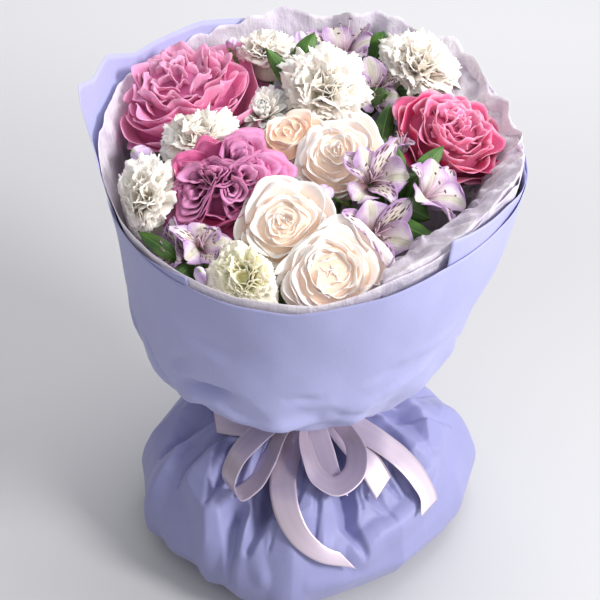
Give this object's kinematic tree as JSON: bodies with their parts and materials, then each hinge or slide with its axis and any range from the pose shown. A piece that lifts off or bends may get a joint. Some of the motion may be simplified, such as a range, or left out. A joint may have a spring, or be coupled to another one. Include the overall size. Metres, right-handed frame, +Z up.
{
  "type": "mixed flower bouquet",
  "caption": "Mixed bouquet of roses, carnations and alstroemerias in a flared paper wrap with tissue lining, tied with a satin bow above a pleated paper bag that it stands on.",
  "frame": {"origin": "middle of the paper bag's flat bottom, straight below the tied waist", "axes": "+Z up along the waist, -Y towards the front with the bow, +X to the right seen from the front"},
  "size_m": [0.3351, 0.3261, 0.4211],
  "materials": {
    "lilac_paper": "matte",
    "white_tissue": "matte",
    "twine": "matte",
    "satin_ribbon": "satin",
    "pink_petal": "matte",
    "crimson_petal": "matte",
    "blush_petal": "matte",
    "cream_petal": "matte",
    "lilac_tepal": "matte",
    "green_stem": "satin"
  },
  "bodies": {
    "root": {"paper_cup_front": "lilac_paper", "paper_cup_back": "lilac_paper", "tissue_lining": "white_tissue", "paper_skirt": "lilac_paper", "rose_pink_large_petals": "pink_petal", "rose_pink_large_stem": "green_stem", "rose_pink_quartered_petals": "pink_petal", "rose_pink_quartered_stem": "green_stem", "rose_crimson_petals": "crimson_petal", "rose_crimson_stem": "green_stem", "rose_blush_left_petals": "blush_petal", "rose_blush_left_stem": "green_stem", "rose_blush_front_petals": "blush_petal", "rose_blush_front_stem": "green_stem", "rose_blush_back_petals": "blush_petal", "rose_blush_back_stem": "green_stem", "rose_peach_petals": "blush_petal", "rose_peach_stem": "green_stem", "carnation_back_petals": "cream_petal", "carnation_back_stem": "green_stem", "carnation_top_petals": "cream_petal", "carnation_top_stem": "green_stem", "carnation_right_petals": "cream_petal", "carnation_right_stem": "green_stem", "carnation_left_petals": "cream_petal", "carnation_left_stem": "green_stem", "carnation_cream_petals": "cream_petal", "carnation_cream_stem": "green_stem", "carnation_middle_petals": "cream_petal", "carnation_middle_stem": "green_stem", "chrysanthemum_petals": "cream_petal", "chrysanthemum_stem": "green_stem", "alstroemeria_back_green": "green_stem", "alstroemeria_back_flower_1": "lilac_tepal", "alstroemeria_back_flower_2": "lilac_tepal", "alstroemeria_back_bud_1": "lilac_tepal", "alstroemeria_centre_green": "green_stem", "alstroemeria_centre_flower_1": "lilac_tepal", "alstroemeria_centre_flower_2": "lilac_tepal", "alstroemeria_centre_flower_3": "lilac_tepal", "alstroemeria_centre_flower_4": "lilac_tepal", "alstroemeria_centre_bud_1": "lilac_tepal", "alstroemeria_left_green": "green_stem", "alstroemeria_left_flower_1": "lilac_tepal", "alstroemeria_left_flower_2": "lilac_tepal", "alstroemeria_left_bud_1": "lilac_tepal", "alstroemeria_bud_pair_green": "green_stem", "alstroemeria_bud_pair_bud_1": "lilac_tepal", "alstroemeria_back_left_green": "green_stem", "alstroemeria_back_left_bud_1": "lilac_tepal", "alstroemeria_back_left_bud_2": "lilac_tepal", "binding_twine": "twine", "ribbon_band": "satin_ribbon", "ribbon_bow": "satin_ribbon"}
  },
  "joints": []
}
